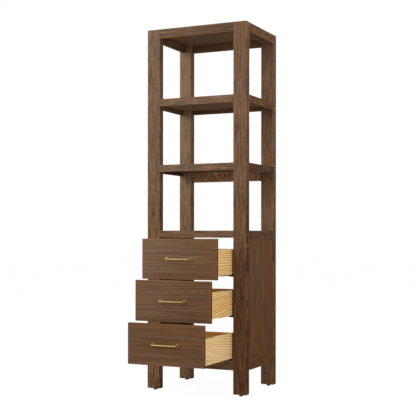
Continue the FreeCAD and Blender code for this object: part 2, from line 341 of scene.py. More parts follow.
@dataclass(frozen=True)
class Timber:
    """A kind of board: its colours, its growth rings and its surface."""

    name: str
    deep: Colour
    body: Colour
    pale: Colour
    warm: Colour
    # Grey of the ash streaks in the wood, also used for the painted sheen.
    ash_and_sheen_grey: Colour
    knot: Colour
    ring_spacing: float
    ring_depth: float
    streak_depth: float
    pore_depth: float
    roughness: float
    relief: float
    drift: Point = (1.7, 10.0, 10.0)
    ripple: Point = (9.0, 60.0, 60.0)
    waver: float = 0.018
    late_rise: Ends = (0.25, 0.86)
    late_fall: Ends = (0.9, 1.0)
    streak: Point = (8.0, 160.0, 1.0)
    thread: Point = (32.0, 260.0, 1.0)
    cloud: Point = (1.3, 5.0, 5.0)
    pore: Point = (70.0, 1500.0, 1500.0)
    hue: Point = (7.0, 110.0, 1.0)
    pore_range: Ends = (0.56, 0.7)
    thread_share: float = 0.6
    cloud_depth: float = 0.16
    stops: Point = (0.12, 0.5, 0.9)
    warm_range: Ends = (0.5, 0.68)
    ash_range: Ends = (0.5, 0.34)
    warmth: float = 0.6
    ash: float = 0.11
    worn: Colour = srgb(158, 112, 72)
    wear: float = 0.0
    edge: Ends = (0.0005, 0.0042)
    skin: Ends = (0.0008, 0.003)
    log_step: float = 3.7
    sheen: float = 0.02

    def group(self) -> bpy.types.NodeTree:
        """The tree of this timber, made once.

        Returns:
            A group from a place in the log to colour, roughness and height.
        """
        found = bpy.data.node_groups.get(self.name)
        if found:
            return found
        tree = bpy.data.node_groups.new(self.name, "ShaderNodeTree")
        for way, kind, names in (
            ("INPUT", "Vector", ("Place",)),
            ("INPUT", "Float", ("Warp", "Knot", "Tone", "Fade", "Figure")),
            ("OUTPUT", "Color", ("Color",)),
            ("OUTPUT", "Float", ("Roughness", "Height")),
        ):
            for name in names:
                tree.interface.new_socket(name, in_out=way, socket_type=f"NodeSocket{kind}")
        graph = Graph(tree)
        given = graph.node("NodeGroupInput").outputs
        graph.node("NodeGroupOutput", *self.pattern(graph, given))
        return tree

    def pattern(self, graph: Graph, given: dict[str, Socket]) -> tuple[Socket, ...]:
        """Wires rings, streaks and pores inside the group.

        Args:
            graph: The group's graph.
            given: Its inputs.

        Returns:
            Colour, roughness and height.
        """
        place = given["Place"]
        radius = graph.vector("LENGTH", graph.vector("MULTIPLY", place, (0, 1, 1)))
        warped = graph.sway(graph.noise(place, self.drift, 2, 0.45), self.waver, radius)
        warped = graph.sway(graph.noise(place, self.ripple, 1, 0.5), self.waver / 14, warped)
        warped = graph.math("ADD", warped, given["Warp"])
        turn = graph.math("FRACT", graph.math("DIVIDE", warped, self.ring_spacing))
        rise, fall = graph.spread(turn, *self.late_rise), graph.spread(turn, *self.late_fall, 1, 0)
        late = graph.math("MULTIPLY", rise, fall)
        spot = graph.node("ShaderNodeCombineXYZ", graph.split(place)[0], warped).outputs[0]
        pores = graph.spread(graph.noise(place, self.pore, 2, 0.65), *self.pore_range)
        tone = graph.sway(graph.noise(spot, self.streak, 3), self.streak_depth, 0)
        thread_depth = self.streak_depth * self.thread_share
        tone = graph.sway(graph.noise(spot, self.thread, 2), thread_depth, tone)
        tone = graph.sway(graph.noise(place, self.cloud, 2, 0.5), self.cloud_depth, tone)
        tone = graph.math("MULTIPLY_ADD", late, -self.ring_depth, tone)
        tone = graph.math("MULTIPLY_ADD", pores, -self.pore_depth, tone)
        tone = graph.math("MULTIPLY_ADD", tone, given["Figure"], given["Tone"])
        tone = graph.math("ADD", tone, 0.5, clamp=True)
        colour = graph.ramp(tone, zip(self.stops, (self.deep, self.body, self.pale)))
        hue = graph.noise(spot, self.hue, 2)
        warm = graph.spread(hue, *self.warm_range, 0, self.warmth)
        ash = graph.spread(hue, *self.ash_range, 0, self.ash)
        colour = graph.mix(warm, colour, self.warm)
        # The ash streaks grey the wood itself; the share given per board on top is a painted
        # sheen.
        colour = graph.mix(graph.math("ADD", ash, given["Fade"]), colour, self.ash_and_sheen_grey)
        rough = graph.math("MULTIPLY_ADD", pores, 0.15, self.roughness)
        height = graph.math("MULTIPLY_ADD", pores, -1, 1)
        return (
            graph.mix(given["Knot"], colour, self.knot),
            graph.math("MULTIPLY_ADD", late, -0.06, rough),
            graph.math("MULTIPLY_ADD", late, 0.35, height),
        )

    def board(self, node: str, grain: Grain, cut: Cut, seed: int) -> Material:
        """The material of one board, with its own stretch of the log.

        Args:
            node: The board's node.
            grain: The way its fibres run.
            cut: How it was cut.
            seed: Shifts the log along, so that no two boards match.

        Returns:
            The material.
        """
        low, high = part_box(node)
        made, graph, shader = new_material(f"{self.name}_{node}")
        centre, half = (low + high) / 2, (high - low) / 2
        turn = Euler(grain.value)
        shift = Vector((seed * self.log_step, *cut.pith))
        start = shift - turn.to_matrix() @ centre
        place = graph.node("ShaderNodeMapping", graph.coordinate(), start, turn).outputs[0]
        along = graph.split(graph.vector("SUBTRACT", place, shift))[0]
        warp: object = graph.math("MULTIPLY", along, cut.taper)
        stain: object = 0.0
        for knot in cut.knots:
            core = shift + Vector((knot.along, knot.across, knot.through))
            away = graph.vector("SUBTRACT", place, core)
            away = graph.vector("LENGTH", graph.vector("MULTIPLY", away, knot.oval))
            pull = graph.spread(away, 0, knot.radius * knot.reach, 1, 0)
            warp = graph.math("MULTIPLY_ADD", pull, knot.pull, warp)
            spot = graph.spread(away, knot.radius * knot.core, knot.radius, knot.darkness, 0)
            stain = graph.math("MAXIMUM", stain, spot)
        away = graph.vector("SUBTRACT", graph.coordinate(), centre)
        depth = graph.split(graph.vector("SUBTRACT", half, graph.vector("ABSOLUTE", away)))
        reach = max(half)
        tone, fade, painted_side_shading = (
            graph.spread(along, -reach, reach, *ends) for ends in (cut.tone, cut.fade, cut.painted_side_shading)
        )
        # Painted shade: the side tone darkens the faces across x, and lightens them at some ends.
        side = graph.spread(depth[0], *self.skin, 1, 0)
        tone = graph.math("MULTIPLY_ADD", side, painted_side_shading, tone)
        given = (place, warp, stain, tone, fade, cut.figure)
        grained = graph.node("ShaderNodeGroup", *given, node_tree=self.group()).outputs
        colour = graph.mix(self.edges(graph, depth), grained["Color"], self.worn)
        graph.supply(shader, {"Base Color": colour, "Roughness": grained["Roughness"]})
        graph.supply(shader, {"Specular IOR Level": self.sheen})
        graph.bump(shader, grained["Height"], 0.6, self.relief)
        return made

    def edges(self, graph: Graph, depth: tuple[Socket, ...]) -> Socket:
        """The share of stain rubbed off along the board's outer edges.

        Args:
            graph: The board's graph.
            depth: How far under the outer faces a point lies, each way.

        Returns:
            The share's socket.
        """
        x, y, z = depth
        nearest = graph.math("MINIMUM", x, y)
        second = graph.math("MINIMUM", graph.math("MAXIMUM", x, y), z)
        rubbed = graph.spread(graph.math("MAXIMUM", nearest, second), *self.edge, self.wear, 0)
        patches = graph.noise(graph.coordinate(), (22, 22, 22), 3)
        return graph.math("MULTIPLY", rubbed, graph.spread(patches, 0.3, 0.62, 0.25, 1))


STAINED = Timber(
    name="stained_oak",
    deep=srgb(56, 35, 22), body=srgb(103, 73, 49), pale=srgb(144, 111, 81),
    warm=srgb(124, 80, 46), ash_and_sheen_grey=srgb(150, 138, 122), knot=srgb(50, 25, 14),
    ring_spacing=0.0034, ring_depth=0.14, streak_depth=1.5, pore_depth=0.2,
    roughness=0.74, relief=0.00025, wear=0.38,
)
FLAME = replace(
    STAINED,
    name="stained_flame",
    deep=srgb(52, 31, 20), body=srgb(128, 90, 62), pale=srgb(192, 150, 110),
    warm=srgb(158, 96, 54), warmth=0.9, hue=(10.0, 140.0, 1.0),
    ring_spacing=0.006, ring_depth=0.75, streak_depth=1.3, waver=0.014,
)
SLAB = replace(
    STAINED,
    name="stained_slab",
    ring_spacing=0.0105, ring_depth=0.12, streak_depth=0.7, pore_depth=0.14, waver=0.03,
    streak=(2.2, 130.0, 1.0), thread=(5.0, 360.0, 1.0), hue=(1.8, 70.0, 1.0),
    warmth=0.5, ash=0.08, wear=0.6,
)
PINE = Timber(
    name="pale_pine",
    deep=srgb(204, 146, 66), body=srgb(234, 204, 142), pale=srgb(246, 224, 172),
    warm=srgb(224, 172, 98), ash_and_sheen_grey=srgb(240, 228, 208), knot=srgb(110, 62, 28),
    ring_spacing=0.0115, ring_depth=0.62, streak_depth=0.9, pore_depth=0.05, waver=0.036,
    streak=(3.0, 95.0, 1.0), thread=(9.0, 330.0, 1.0), hue=(2.0, 60.0, 1.0),
    roughness=0.62, relief=0.00012, warmth=0.5, ash=0.1, worn=srgb(250, 234, 196), wear=0.35,
)
# Pine made brighter and more orange for the boards whose inner faces show, a painted glow of light
# bounced round inside the drawer.
BOUNCE_LIT_PINE = replace(
    PINE,
    name="pine_painted_bounce",
    deep=srgb(252, 170, 62), body=srgb(255, 214, 124), pale=srgb(255, 226, 150),
    warm=srgb(255, 190, 88), ring_depth=0.4,
)
PLY = Timber(
    name="pale_ply",
    deep=srgb(186, 134, 74), body=srgb(214, 172, 112), pale=srgb(230, 196, 142),
    warm=srgb(206, 152, 88), ash_and_sheen_grey=srgb(222, 204, 172), knot=srgb(120, 70, 34),
    ring_spacing=0.004, ring_depth=0.25, streak_depth=0.5, pore_depth=0.08, waver=0.03,
    streak=(3.0, 60.0, 1.0), roughness=0.65, relief=0.0001, warmth=0.4, ash=0.1,
)


@dataclass(frozen=True)
class Finish:
    """A metal, plastic or coating with fine wear in its gloss."""

    name: str
    slot: str
    colour: Colour
    shade: Colour
    metallic: float
    roughness: float
    brushed: Point = (400.0, 400.0, 400.0)
    patches: Point = (60.0, 60.0, 60.0)
    swing: float = 0.16
    relief: float = 0.00002

    def material(self) -> Material:
        """The finish's material, made once.

        Returns:
            The material.
        """
        found = bpy.data.materials.get(self.name)
        if found:
            return found
        made, graph, shader = new_material(self.name)
        place = graph.coordinate()
        patch = graph.spread(graph.noise(place, self.patches, 3), 0.35, 0.7)
        lines = graph.noise(place, self.brushed, 2)
        rough = graph.math("MULTIPLY_ADD", lines, self.swing, self.roughness - self.swing / 2)
        tint = graph.mix(patch, self.colour, self.shade)
        graph.supply(shader, {"Base Color": tint, "Roughness": rough, "Metallic": self.metallic})
        graph.bump(shader, lines, 0.5, self.relief)
        return made


BRASS = Finish(
    "aged_brass", "brushed_brass", srgb(176, 154, 94), srgb(152, 128, 74), 1.0, 0.48,
    brushed=(60.0, 2600.0, 2600.0),
)
# A darker brass that paints the shade and dark reflection in the sunk ring round each leg.
RECESS_SHADE_BRASS = Finish("brass_painted_recess_shade", "brushed_brass", srgb(84, 62, 34), srgb(60, 42, 24), 1.0, 0.5)
BLACK_STEEL = Finish("black_sheet", "slide_steel", srgb(30, 26, 23), srgb(20, 17, 15), 0.0, 0.42)
ZINC = Finish("zinc_plate", "insert_steel", srgb(176, 178, 180), srgb(150, 152, 156), 1.0, 0.34)
PLASTIC = Finish("dark_plastic", "glide_plastic", srgb(34, 29, 26), srgb(24, 21, 19), 0.0, 0.5)
NYLON = Finish("pale_nylon", "glide_plastic", srgb(214, 212, 204), srgb(196, 193, 184), 0.0, 0.4)


class Bench:
    """A new piece being shaped by hand in edit mode."""

    def __init__(self, title: str) -> None:
        """Names the primitive just added, lays its place into its mesh and opens it.

        Args:
            title: The piece's name.
        """
        self.piece = bpy.context.object
        self.piece.name = self.piece.data.name = title
        self.hold(self.piece)
        bpy.ops.object.transform_apply(location=True, rotation=True, scale=True)
        bpy.ops.object.mode_set(mode="EDIT")
        bpy.ops.mesh.select_mode(type="FACE")
        bpy.ops.mesh.select_all(action="SELECT")

    @staticmethod
    def hold(*pieces: Piece) -> None:
        """Leaves edit mode and selects only these pieces, the first one active.

        Args:
            pieces: The pieces, or none.
        """
        if bpy.context.object and bpy.context.object.mode != "OBJECT":
            bpy.ops.object.mode_set(mode="OBJECT")
        bpy.ops.object.select_all(action="DESELECT")
        for piece in reversed(pieces):
            piece.select_set(True)
            bpy.context.view_layer.objects.active = piece

    def pick(self, mode: str, test: Test) -> None:
        """Selects the faces or edges that pass a test.

        Args:
            mode: FACE or EDGE.
            test: Says which ones.
        """
        bpy.ops.mesh.select_mode(type=mode)
        bpy.ops.mesh.select_all(action="DESELECT")
        mesh = bmesh.from_edit_mesh(self.piece.data)
        for element in filter(test, mesh.faces if mode == "FACE" else mesh.edges):
            element.select_set(True)
        bmesh.update_edit_mesh(self.piece.data)

    def soften(self, offset: float, segments: int, test: Test) -> None:
        """Bevels the edges that pass a test.

        Args:
            offset: The bevel's width.
            segments: Its steps.
            test: Says which edges.
        """
        self.pick("EDGE", test)
        bpy.ops.mesh.bevel(offset=offset, segments=segments, affect="EDGES")

    @staticmethod
    def draw_out(x: float, y: float, z: float) -> None:
        """Extrudes what is selected along a straight run."""
        bpy.ops.mesh.extrude_region_move(TRANSFORM_OT_translate={"value": (x, y, z)})

    def close(self, angle: float = 35.0) -> Piece:
        """Leaves edit mode with normals outwards and shading smooth up to an angle.

        Args:
            angle: The angle in degrees.

        Returns:
            The piece.
        """
        bpy.ops.mesh.select_all(action="SELECT")
        bpy.ops.mesh.remove_doubles(threshold=0.000002)
        bpy.ops.mesh.normals_make_consistent(inside=False)
        bpy.ops.object.mode_set(mode="OBJECT")
        bpy.ops.object.shade_smooth_by_angle(angle=math.radians(angle))
        return self.piece


def finish_piece(piece: Piece, finish: Finish, body: str, replaced: Sequence[str] = ()) -> None:
    """Gives a piece its finish and joins it to its body.

    Args:
        piece: The finished piece.
        finish: Its finish.
        body: The body that it moves with.
        replaced: Nodes that it stands for.
    """
    piece.data.materials.clear()
    piece.data.materials.append(finish.material())
    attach(piece, body)
    if replaced:
        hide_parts(*replaced)
    LOG.info("piece %s rides %s", piece.name, body)


def set_out(
    piece: Piece, places: Places, finish: Finish, body: str, replaced: Sequence[str] = ()
) -> None:
    """Puts finished copies of a piece, each with its place in its own mesh, and removes it.

    Args:
        piece: The piece that is copied.
        places: A name and a placing for each copy.
        finish: Their finish.
        body: The body that they move with.
        replaced: Nodes that the first copy stands for.
    """
    for title, placing in places:
        twin = piece.copy()
        twin.data = piece.data.copy()
        twin.name = twin.data.name = title
        twin.data.transform(placing)
        if placing.determinant() < 0:
            twin.data.flip_normals()
        bpy.context.scene.collection.objects.link(twin)
        finish_piece(twin, finish, body, replaced)
        replaced = ()
    bpy.data.objects.remove(piece)


def dress_node(nodes: Nodes, name: str, material: Material) -> None:
    """Puts a material on a node that keeps its own shape.

    Args:
        nodes: The frame's nodes.
        name: The node.
        material: Its material.
    """
    held = nodes[name]
    if held.material_slots:
        for place in held.material_slots:
            place.link = "OBJECT"
            place.material = material
    else:
        held.data.materials.append(material)
    LOG.info("node %s wears %s", name, material.name)


# In these tables the grey share at each end of a board is a painted sheen, and the side tone is
# painted shade on the faces across x.
CARCASS_CUTS = {
    "post_front_left": Cut((0.05, 0.15), 0.005, tone=(0.03, -0.01), fade=(0.0, 0.15), figure=1.3),
    "post_front_right": Cut(
        (0.03, 0.19), 0.004,
        (Knot(0.858, -0.0205, 0.012, 0.006, 0.008), Knot(0.436, -0.0205, 0.012, 0.006, 0.008)),
        tone=(-0.04, -0.04), fade=(0.0, 0.1), painted_side_shading=(-0.3, 0.06),
    ),
    "post_rear_left": Cut(
        (0.03, 0.09), 0.02, (Knot(0.53, -0.0205, 0.01, 0.005, 0.01),),
        tone=(0.2, 0.7), fade=(0.0, 0.16), figure=2.1,
    ),
    # The right rear post is lighter at its low end, painted light round the foot.
    "post_rear_right": Cut(
        (0.04, 0.15), 0.01, tone=(0.3, -0.06), fade=(0.04, 0.1), painted_side_shading=(-0.54, 0.1)
    ),
    # The side panels are darker, most at the low end, as painted shade on the cabinet's sides.
    "side_panel_right": Cut((0.05, 0.16), tone=(-0.1, -0.06), fade=(0.0, 0.03), figure=0.8),
    "side_panel_left": Cut((0.06, 0.13), tone=(-0.08, -0.04), fade=(0.0, 0.03), figure=0.8),
    "top_front_rail": Cut((0.07, 0.12), tone=(-0.2, -0.2), fade=(0.14, 0.08), figure=1.2),
    "top_panel": Cut((0.05, 0.1), tone=(0.1, 0.1), fade=(0.12, 0.12)),
    "upper_shelf_front_rail": Cut((0.08, 0.13), tone=(0.02, 0.02), fade=(0.16, 0.12), figure=1.4),
    "upper_shelf_side_rails": Cut((0.07, 0.13), tone=(-0.05, -0.05), figure=0.75),
    "upper_shelf_panel": Cut((0.06, 0.12), tone=(0.12, 0.12), fade=(0.08, 0.08)),
    "lower_shelf_front_rail": Cut(
        (0.06, 0.11), tone=(-0.05, -0.05), fade=(0.16, 0.12), figure=1.4
    ),
    "lower_shelf_side_rails": Cut((0.05, 0.14), tone=(-0.38, -0.38)),
    # The rear apron under the lower shelf is much lighter, painted light where it lies in shade.
    "lower_shelf_rear_rail": Cut(
        (0.03, 0.004), 0.2,
        (Knot(-0.09, -0.01, -0.004, 0.006, 0.014), Knot(0.19, -0.01, 0.002, 0.004, 0.01)),
        tone=(0.52, 0.52), fade=(0.06, 0.06),
    ),
    "lower_shelf_panel": Cut((0.06, 0.14), tone=(-0.14, -0.14), fade=(0.08, 0.08)),
    "deck_front_rail": Cut((0.05, 0.14), tone=(0.08, 0.08), fade=(0.12, 0.1), figure=1.5),
    "deck_side_rails": Cut((0.07, 0.15), tone=(-0.24, -0.24), fade=(0.06, 0.06), figure=0.5),
    # The base front rail is lighter, painted light where it lies in shade.
    "base_front_rail": Cut((0.05, 0.13), tone=(0.1, 0.1)),
    "base_side_rails": Cut((0.06, 0.14), tone=(-0.16, -0.16), fade=(0.0, 0.0), figure=0.5),
}
# On the fronts the grey share, strongest at the left end, is a painted sheen, and the side tone is
# painted shade on the right end face.
FRONT_CUTS = {
    "top": Cut(
        (0.03, 0.17), 0.01, (Knot(0.055, -0.01, 0.08, 0.004, 0.004),),
        tone=(0.02, 0.02), fade=(0.13, 0.03), figure=1.15, painted_side_shading=(0.0, -0.2),
    ),
    "middle": Cut(
        (0.05, 0.15), -0.012, (Knot(0.145, -0.01, 0.045, 0.005, 0.006),),
        tone=(-0.04, -0.04), fade=(0.1, 0.02), figure=1.15, painted_side_shading=(0.0, -0.16),
    ),
    "bottom": Cut(
        (0.04, 0.19), 0.008, (Knot(0.03, -0.01, 0.06, 0.004, 0.004),),
        tone=(-0.04, -0.04), fade=(0.04, 0.0), figure=0.9, painted_side_shading=(0.0, -0.1),
    ),
}
SIDE_CUTS = {
    "top": Cut((0.03, 0.15), 0.01, tone=(0.11, 0.11), figure=1.35),
    "middle": Cut((0.05, 0.12), -0.06, tone=(0.08, 0.08), figure=1.25),
    "bottom": Cut((0.04, -0.15), -0.08, tone=(0.18, 0.18), fade=(0.18, 0.18), figure=1.8),
}
END_CUT = Cut((0.05, -0.09), 0.03)
BOTTOM_CUT = Cut((0.02, 0.045), 0.05)


@dataclass
class Carcass:
    """Posts, framed shelves and side panels, each board cut from its own place in a log."""

    nodes: Nodes
    levels: tuple[str, ...] = ("top", "upper_shelf", "lower_shelf", "deck", "base")

    def dress(self) -> None:
        """Puts grain on every board of the carcass."""
        boards = [(f"post_front_{title}", Grain.UPRIGHT) for _, title in SIDES]
        boards += [(f"post_rear_{title}", Grain.UPRIGHT) for _, title in SIDES]
        for level in self.levels:
            boards += [(f"{level}_front_rail", Grain.ACROSS), (f"{level}_rear_rail", Grain.ACROSS)]
            boards += [(f"{level}_side_rails", Grain.DEEP), (f"{level}_panel", Grain.ACROSS)]
        boards += [(f"side_panel_{title}", Grain.UPRIGHT) for _, title in SIDES]
        boards += [(f"runner_rails_{drawer}", Grain.DEEP) for drawer in DRAWERS]
        for seed, (node, grain) in enumerate(boards, 1):
            if node not in self.nodes:  # The base has no panel.
                continue
            cut = CARCASS_CUTS.get(node, Cut((0.06 + 0.013 * (seed % 5), 0.14)))
            plain = SLAB if "panel" in node else STAINED
            timber = FLAME if node == "lower_shelf_rear_rail" else plain
            dress_node(self.nodes, node, timber.board(node, grain, cut, seed))


@dataclass
class BarPull:
    """A round brass bar bent into a wide U, standing on two roses."""

    drawer: str
    bar: float = 0.006
    corner: float = 0.008
    rose: float = 0.018
    rose_depth: float = 0.0035
    rose_edge: float = 0.001
    rim: float = 0.0025
    step: float = 0.0003
    collar: float = 0.0076
    collar_edge: float = 0.0006

    def __post_init__(self) -> None:
        """Reads its legs, its face, its grip and its height from the drawer's node."""
        self.node = f"bar_pull_{self.drawer}"
        low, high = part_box(self.node)
        self.half = (high.x - low.x) / 2 - self.rose / 2
        self.face_y, self.grip_y = high.y, low.y + self.bar / 2
        self.z = (low.z + high.z) / 2

    def build(self) -> None:
        """Models bar and roses in the place of the drawer's node, as one piece."""
        bar = self.bend()
        Bench.hold(bar, *[self.rose_disc(side * self.half) for side, _ in SIDES])
        bpy.ops.object.join()
        bar.name = f"pull_{self.drawer}"
        bpy.ops.object.shade_smooth_by_angle(angle=math.radians(40))
        finish_piece(bar, BRASS, f"drawer_{self.drawer}", (self.node,))
        # Paints shade into the sunk ring round each leg.
        self.age(bar)

    def age(self, bar: Piece) -> None:
        """Darkens the sunk ring round each leg with a darker brass, a painted shade and dark
        reflection.

        Args:
            bar: The pull.
        """
        bar.data.materials.append(RECESS_SHADE_BRASS.material())
        inner, outer = self.bar / 2 + 0.0002, self.rose / 2 - self.rim
        rim_y = self.face_y - self.rose_depth * 0.97
        for face in bar.data.polygons:
            centre = face.center
            reach = math.hypot(abs(centre.x) - self.half, centre.z - self.z)
            if inner < reach < outer and rim_y < centre.y < self.face_y - NEAR:
                face.material_index = 1

    def bend(self) -> Piece:
        """Draws the bar from one rose to the other.

        Returns:
            The bar.
        """
        bpy.ops.mesh.primitive_circle_add(
            vertices=28, radius=self.bar / 2, fill_type="NGON",
            location=(-self.half, self.face_y, self.z), rotation=(QUARTER, 0, 0),
        )
        bar = Bench(f"bar_{self.drawer}")
        x, y = self.half - self.corner, self.grip_y + self.corner
        for run, pivot in (((0, y - self.face_y, 0), -x), ((2 * x, 0, 0), x)):
            bar.draw_out(*run)
            bpy.ops.mesh.spin(steps=10, angle=QUARTER, center=(pivot, y, self.z), axis=(0, 0, -1))
        bar.draw_out(0, self.face_y - y, 0)
        return bar.close(50)

    def rose_disc(self, x: float) -> Piece:
        """Turns one rose with a rounded rim and a low collar.

        Args:
            x: Its centre across.

        Returns:
            The rose.
        """
        radius, depth = self.rose / 2, self.rose_depth
        bpy.ops.mesh.primitive_cylinder_add(
            vertices=40, radius=radius, depth=depth,
            location=(x, self.face_y - depth / 2, self.z), rotation=(QUARTER, 0, 0),
        )
        disc = Bench("rose")
        outer_y = self.face_y - depth + NEAR
        disc.pick("FACE", lambda f: f.calc_center_median().y < outer_y)
        bpy.ops.mesh.inset(thickness=self.rim, depth=0)
        bpy.ops.mesh.inset(thickness=self.step, depth=-depth * 0.7)
        bpy.ops.mesh.inset(thickness=radius - self.rim - self.step - self.collar / 2, depth=0)
        disc.draw_out(0, -depth / 2, 0)
        bpy.ops.mesh.inset(thickness=self.collar_edge, depth=0)
        rim = radius * 0.98
        disc.soften(
            self.rose_edge,
            4,
            lambda e: all(
                v.co.y < outer_y and math.hypot(v.co.x - x, v.co.z - self.z) > rim for v in e.verts
            ),
        )
        return disc.close()


@dataclass
class PanScrew:
    """A pan-headed screw's head with a cross recess, modelled along +Z at the origin."""

    head: float = 0.0075
    rise: float = 0.0022
    recess: float = 0.0042
    blade: float = 0.0011

    def build(self) -> Piece:
        """Models the head once, for copies.

        Returns:
            The head, its seat at the origin.
        """
        bpy.ops.mesh.primitive_cylinder_add(
            vertices=16, radius=self.head / 2, depth=self.rise, location=(0, 0, self.rise / 2)
        )
        work = Bench("screw_head")
        brim = self.rise * 0.9
        work.soften(self.rise * 0.55, 3, lambda e: all(v.co.z > brim for v in e.verts))
        head, cutter = work.close(30), self.cross()
        dig = head.modifiers.new("recess", "BOOLEAN")
        dig.operation = "DIFFERENCE"
        dig.solver = "EXACT"
        dig.object = cutter
        Bench.hold(head)
        bpy.ops.object.modifier_apply(modifier="recess")
        bpy.data.objects.remove(cutter)
        return head

    def cross(self) -> Piece:
        """The cross-shaped cutter, grown out of a small cube.

        Returns:
            The cutter.
        """
        bpy.ops.mesh.primitive_cube_add(size=self.blade, location=(0, 0, self.rise))
        cutter = Bench("recess_cutter")
        reach, near = (self.recess - self.blade) / 2, self.blade * 0.4
        for arm in (Vector(way) for way in ((1, 0, 0), (-1, 0, 0), (0, 1, 0), (0, -1, 0))):
            cutter.pick(
                "FACE",
                lambda f: f.normal.dot(arm) > 0.9 and f.calc_center_median().dot(arm) > near,
            )
            cutter.draw_out(*(arm * reach))
        return cutter.close(30)


def facing(direction: Point, place: Point) -> Matrix:
    """A placing that points +Z along a direction.

    Args:
        direction: Where the piece's own +Z points.
        place: Where its origin goes.

    Returns:
        The placing.
    """
    turn = Vector(direction).to_track_quat("Z", "Y").to_matrix().to_4x4()
    return Matrix.Translation(place) @ turn


@dataclass
class Drawer:
    """One drawer: slab front, pale box, pull, screws and locking clips."""

    nodes: Nodes
    level: str
    seed: int
    screw_across: float = 0.16
    screw_rise: float = 0.04
    screw_drop: float = 0.03
    clip_size: Point = (0.0112, 0.04, 0.0042)
    clip_lift: float = 0.0097
    clip_ledge: float = 0.0009
    clip_edge: float = 0.0006
    lever: float = 0.022
    lever_taper: Point = (0.7, 1, 0.8)
    lever_shift: float = 0.002

    def dress(self) -> None:
        """Puts timber on the front and on the boards of the box."""
        side_cut = SIDE_CUTS[self.level]
        for kind, timber, grain, cut, step in (
            ("drawer_front", SLAB, Grain.ACROSS, FRONT_CUTS[self.level], 0),
            ("box_side_right", PINE, Grain.DEEP, side_cut, 0),
            # The left side and the back show their inner faces, so they get the pine with painted
            # bounced light.
            ("box_side_left", BOUNCE_LIT_PINE, Grain.DEEP, side_cut, 1),
            ("box_front", PINE, Grain.ACROSS, END_CUT, 2),
            ("box_back", BOUNCE_LIT_PINE, Grain.ACROSS, END_CUT, 3),
            ("box_bottom", PLY, Grain.ACROSS, BOTTOM_CUT, 5),
        ):
            name = f"{kind}_{self.level}"
            dress_node(self.nodes, name, timber.board(name, grain, cut, self.seed + step))

    def build(self, screw: PanScrew) -> None:
        """Models the pull, the screw heads inside the box and the locking clips.

        Args:
            screw: The screw that is copied.
        """
        pull = BarPull(self.level)
        pull.build()
        self.build_screws(screw, pull)
        self.build_clips()

    def build_screws(self, screw: PanScrew, pull: BarPull) -> None:
        """Sets the pull's two screws and the front's four inside the box.

        Args:
            screw: The screw that is copied.
            pull: The drawer's pull.
        """
        low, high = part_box(f"box_front_{self.level}")
        spots = [(side * pull.half, pull.z) for side, _ in SIDES]
        for side, _ in SIDES:
            across = side * self.screw_across
            spots += [(across, low.z + self.screw_rise), (across, high.z - self.screw_drop)]
        places = [
            (f"box_screw_{self.level}_{number}", facing((0, 1, 0), (x, high.y, z)))
            for number, (x, z) in enumerate(spots)
        ]
        set_out(screw.build(), places, ZINC, f"drawer_{self.level}")

    def build_clips(self) -> None:
        """Sets a locking clip under each front corner of the box."""
        places = [(f"locking_clip_{self.level}_{title}", hand) for title, hand in HANDS]
        set_out(self.clip(), places, PLASTIC, f"drawer_{self.level}")

    def clip(self) -> Piece:
        """Models a moulded clip beside the slide, with a finger lever to the rear.

        Returns:
            The right-hand clip.
        """
        _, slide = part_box(f"slide_drawer_members_{self.level}")
        base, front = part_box(f"box_front_{self.level}")
        wide, deep, tall = self.clip_size
        corner = Vector((slide.x + 0.0002, front.y + 0.0004, base.z + self.clip_lift))
        middle = corner + Vector((wide / 2, deep / 2, 0))
        bpy.ops.mesh.primitive_cube_add(size=1, location=middle, scale=(wide, deep, tall))
        clip = Bench("clip")
        clip.pick("FACE", lambda f: f.normal.y > 0.9)
        bpy.ops.mesh.inset(thickness=self.clip_ledge, depth=0)
        clip.draw_out(0, self.lever, 0)
        tip = middle + Vector((self.lever_shift, deep / 2 + self.lever, 0))
        bpy.ops.transform.resize(value=self.lever_taper, center_override=tip)
        clip.soften(self.clip_edge, 2, lambda e: True)
        return clip.close()


